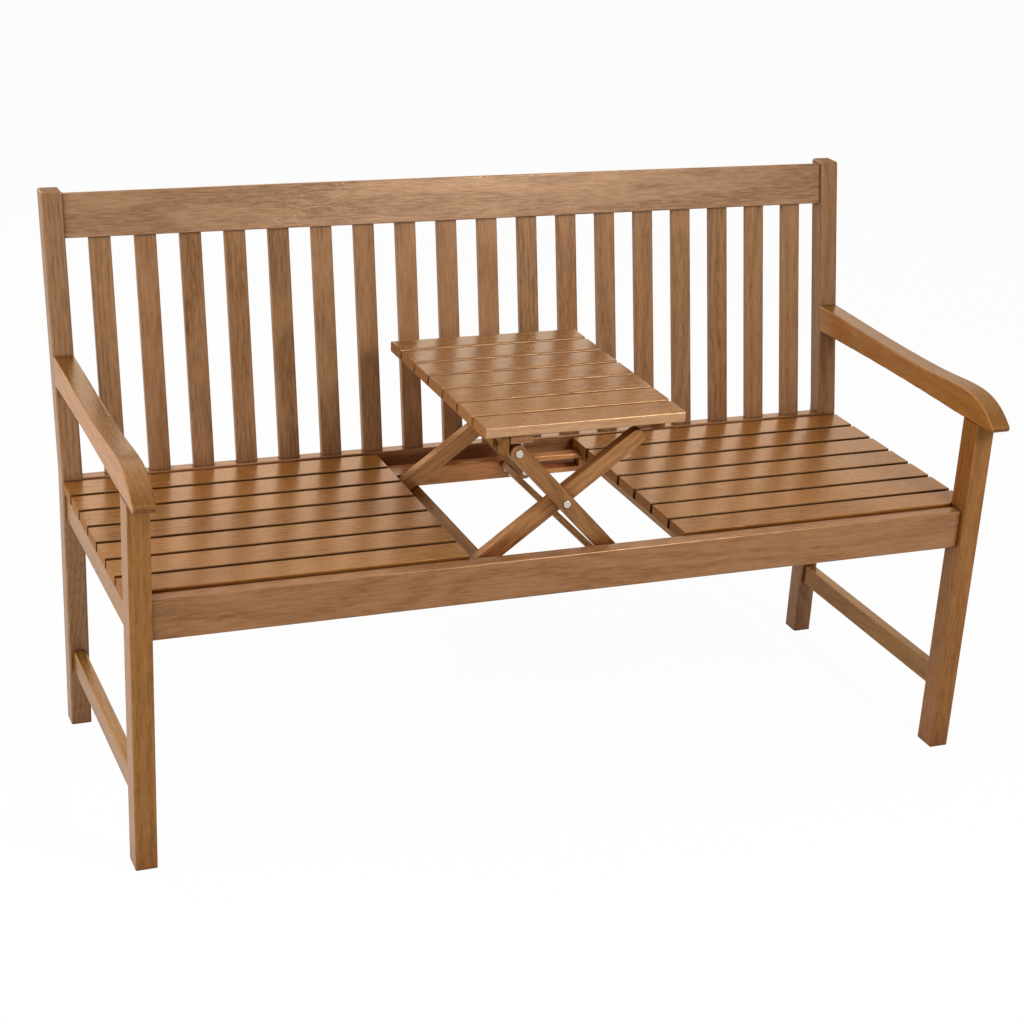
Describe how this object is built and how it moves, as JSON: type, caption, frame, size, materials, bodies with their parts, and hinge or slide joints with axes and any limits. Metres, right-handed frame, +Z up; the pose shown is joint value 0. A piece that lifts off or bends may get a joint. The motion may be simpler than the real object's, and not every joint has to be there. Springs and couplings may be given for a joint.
{
  "type": "garden bench with pop-up table",
  "caption": "Slatted wooden garden bench with armrests and a raked back; a slatted table between the seats rises on scissor arms and folds flush with them.",
  "frame": {"origin": "on the ground below the middle of the whole bench", "axes": "X along the bench to the right of someone facing it, Y from front to back, Z up"},
  "size_m": [1.5, 0.6956, 0.9355],
  "materials": {
    "oiled_hardwood": "oiled hardwood, satin",
    "bright_steel": "zinc plated"
  },
  "bodies": {
    "bench": {"armrest_left": "oiled_hardwood", "armrest_right": "oiled_hardwood", "back_post_left": "oiled_hardwood", "back_post_right": "oiled_hardwood", "back_slats": "oiled_hardwood", "crest_rail": "oiled_hardwood", "front_leg_left": "oiled_hardwood", "front_leg_right": "oiled_hardwood", "front_rail": "oiled_hardwood", "low_stretcher_left": "oiled_hardwood", "low_stretcher_right": "oiled_hardwood", "pivot_block_front": "oiled_hardwood", "pivot_block_rear": "oiled_hardwood", "rear_rail": "oiled_hardwood", "seat_bearer_left": "oiled_hardwood", "seat_bearer_right": "oiled_hardwood", "seat_side_rail_left": "oiled_hardwood", "seat_side_rail_right": "oiled_hardwood", "seat_slat_1_left": "oiled_hardwood", "seat_slat_1_right": "oiled_hardwood", "seat_slat_2_left": "oiled_hardwood", "seat_slat_2_right": "oiled_hardwood", "seat_slat_3_left": "oiled_hardwood", "seat_slat_3_right": "oiled_hardwood", "seat_slat_4_left": "oiled_hardwood", "seat_slat_4_right": "oiled_hardwood", "seat_slat_5_left": "oiled_hardwood", "seat_slat_5_right": "oiled_hardwood", "seat_slat_6_left": "oiled_hardwood", "seat_slat_6_right": "oiled_hardwood", "seat_slat_7_left": "oiled_hardwood", "seat_slat_7_right": "oiled_hardwood", "slat_tie_left": "oiled_hardwood", "slat_tie_right": "oiled_hardwood", "support_pivot_bolts": "bright_steel", "table_front_strip": "oiled_hardwood", "table_rear_rail": "oiled_hardwood"},
    "support_arms": {"support_arm_front": "oiled_hardwood", "support_arm_rear": "oiled_hardwood", "support_arm_batten": "oiled_hardwood"},
    "slider_arms": {"slider_arm_front": "oiled_hardwood", "slider_arm_rear": "oiled_hardwood", "slider_arm_batten": "oiled_hardwood", "crossing_bolts": "bright_steel", "crossing_washers": "bright_steel", "slide_pins": "bright_steel"},
    "table": {"table_batten_left": "oiled_hardwood", "table_batten_right": "oiled_hardwood", "table_slat_1": "oiled_hardwood", "table_slat_2": "oiled_hardwood", "table_slat_3": "oiled_hardwood", "table_slat_4": "oiled_hardwood", "table_slat_5": "oiled_hardwood", "table_slat_6": "oiled_hardwood", "table_slat_7": "oiled_hardwood", "hinge_pads": "oiled_hardwood", "hanger_plates": "bright_steel", "table_pivot_bolts": "bright_steel"}
  },
  "joints": [
    {"name": "support_pivot", "type": "hinge", "parent": "bench", "child": "support_arms", "pos_m": [-0.192, 0, 0.41], "axis": [0, 1, 0], "range_deg": [0, 33.11]},
    {"name": "scissor_crossing", "type": "hinge", "parent": "support_arms", "child": "slider_arms", "pos_m": [-0.02413, 0, 0.53332], "axis": [0, 1, 0], "range_deg": [-83, 0]},
    {"name": "table_pivot", "type": "hinge", "parent": "slider_arms", "child": "table", "pos_m": [-0.11247, 0, 0.62773], "axis": [0, 1, 0], "range_deg": [0, 49.9]}
  ],
  "couplings": [
    {"joint": "scissor_crossing", "follows": "support_pivot", "ratio": -2.5024},
    {"joint": "table_pivot", "follows": "support_pivot", "ratio": 1.5024}
  ]
}
